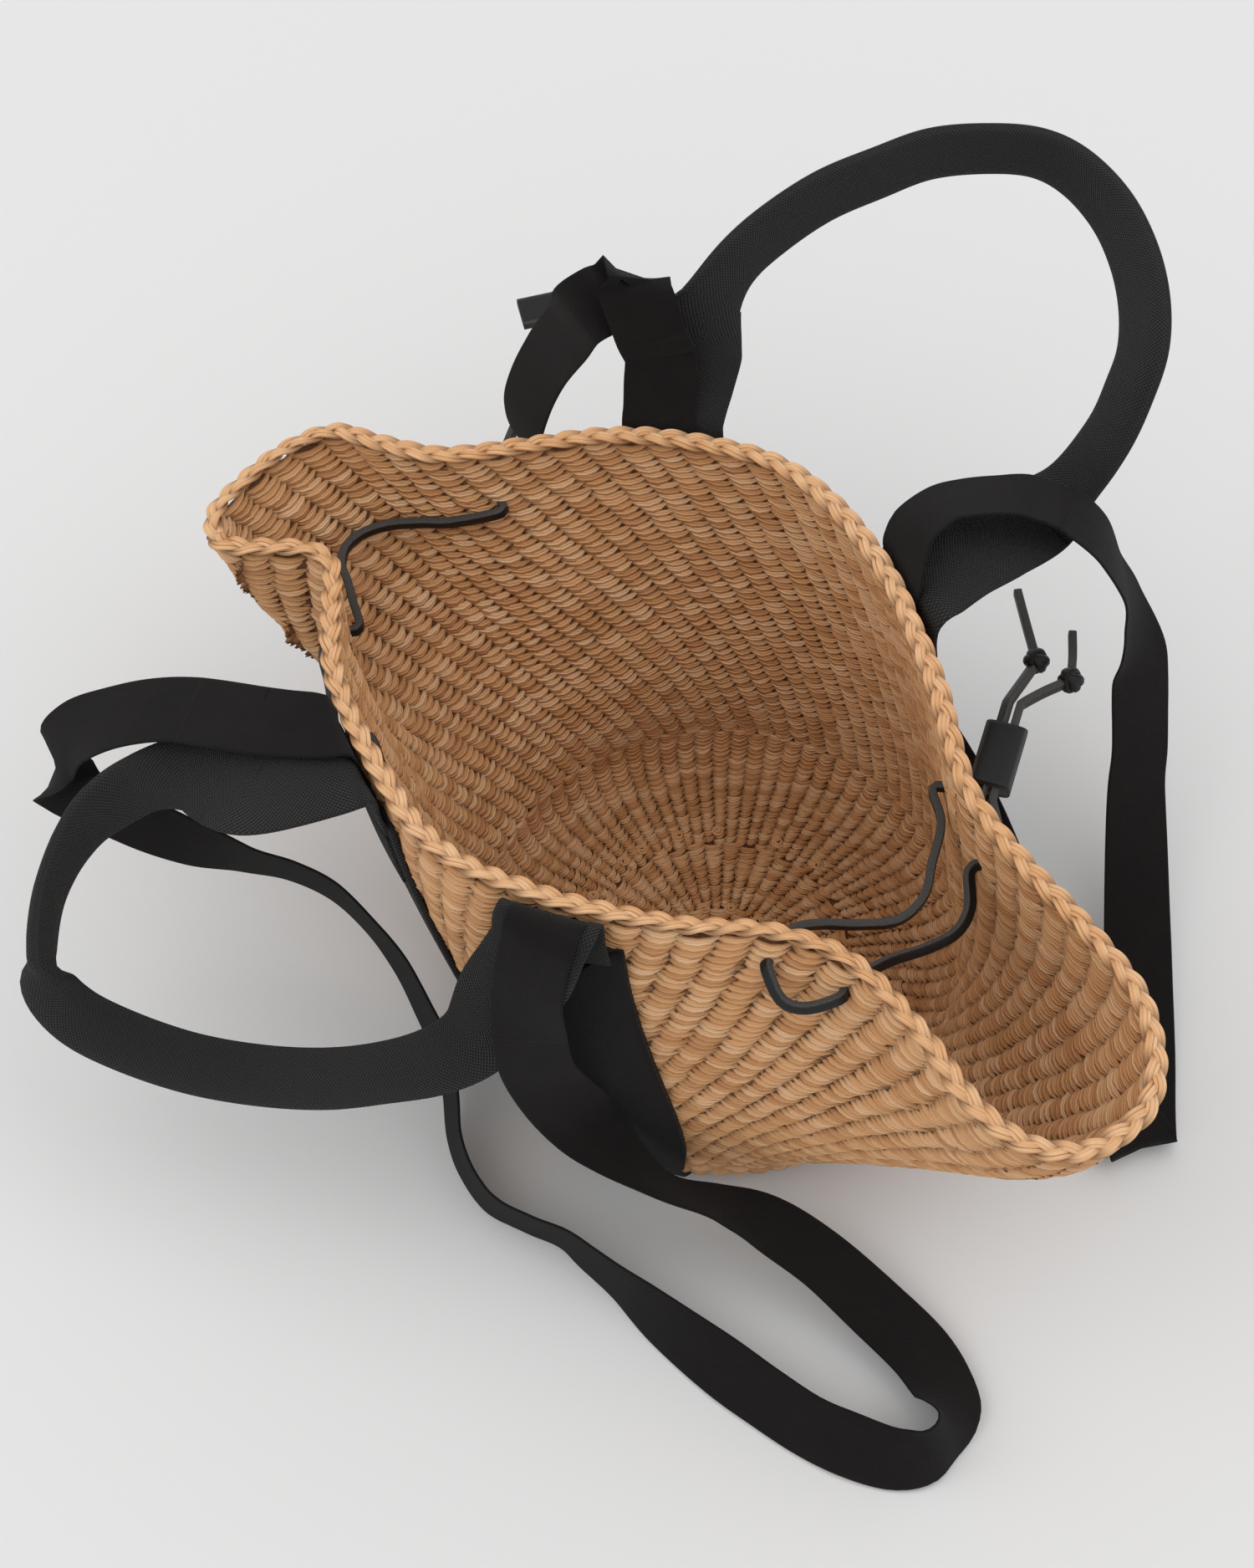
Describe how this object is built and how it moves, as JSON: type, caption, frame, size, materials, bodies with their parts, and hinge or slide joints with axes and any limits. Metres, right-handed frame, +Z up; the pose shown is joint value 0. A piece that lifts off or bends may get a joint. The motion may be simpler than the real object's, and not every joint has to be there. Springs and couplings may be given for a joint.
{
  "type": "woven basket bag",
  "caption": "Open woven straw basket bag with a round base, pinched ears, rolled webbing handles, long shoulder straps, and leather laces with a sliding sleeve.",
  "frame": {"origin": "centre of the round base, on the surface the bag stands on", "axes": "+Z up out of the mouth, +X towards the right-hand ear of the mouth, +Y towards the far long wall"},
  "size_m": [0.5021, 0.5519, 0.2739],
  "materials": {
    "straw": "natural woven straw",
    "coarse_webbing": "coarse ribbed webbing",
    "twill": "fine cotton twill tape",
    "stitching": "sewn thread on webbing",
    "leather": "smooth with raw grey edges"
  },
  "bodies": {
    "bag": {"woven_base": "straw", "woven_wall": "straw", "rim_plait": "straw", "left_band": "coarse_webbing", "right_band": "coarse_webbing", "near_left_tack": "stitching", "near_right_tack": "stitching", "far_left_tack": "stitching", "far_right_tack": "stitching", "right_lace": "leather", "right_lace_end_a": "leather", "right_lace_end_b": "leather", "right_knot_a": "leather", "right_knot_b": "leather", "left_lace": "leather", "left_lace_end": "leather", "left_knot": "leather", "left_tab": "leather"},
    "near_handle": {"near_handle": "coarse_webbing"},
    "near_strap": {"near_strap": "twill"},
    "far_handle": {"far_handle": "coarse_webbing"},
    "far_strap": {"far_strap": "twill"},
    "right_sleeve": {"right_sleeve": "leather"}
  },
  "joints": [
    {"name": "near_handle_fold", "type": "hinge", "parent": "bag", "child": "near_handle", "pos_m": [-0.0126, -0.1191, 0.2021], "axis": [-0.9919, 0.1257, -0.0209], "range_deg": [0, 120]},
    {"name": "near_strap_fold", "type": "hinge", "parent": "bag", "child": "near_strap", "pos_m": [-0.0126, -0.1191, 0.2021], "axis": [-0.9919, 0.1257, -0.0209], "range_deg": [0, 120]},
    {"name": "far_handle_fold", "type": "hinge", "parent": "bag", "child": "far_handle", "pos_m": [-0.1194, 0.1346, 0.2007], "axis": [0.9958, -0.0907, 0.0142], "range_deg": [0, 55]},
    {"name": "far_strap_fold", "type": "hinge", "parent": "bag", "child": "far_strap", "pos_m": [-0.1194, 0.1346, 0.2007], "axis": [0.9958, -0.0907, 0.0142], "range_deg": [0, 55]},
    {"name": "sleeve_slide", "type": "slide", "parent": "bag", "child": "right_sleeve", "axis": [-0.3002, 0.9505, -0.08], "range_m": [-0.003, 0.01]}
  ],
  "couplings": [
    {"joint": "near_strap_fold", "follows": "near_handle_fold", "ratio": 1},
    {"joint": "far_strap_fold", "follows": "far_handle_fold", "ratio": 1}
  ]
}
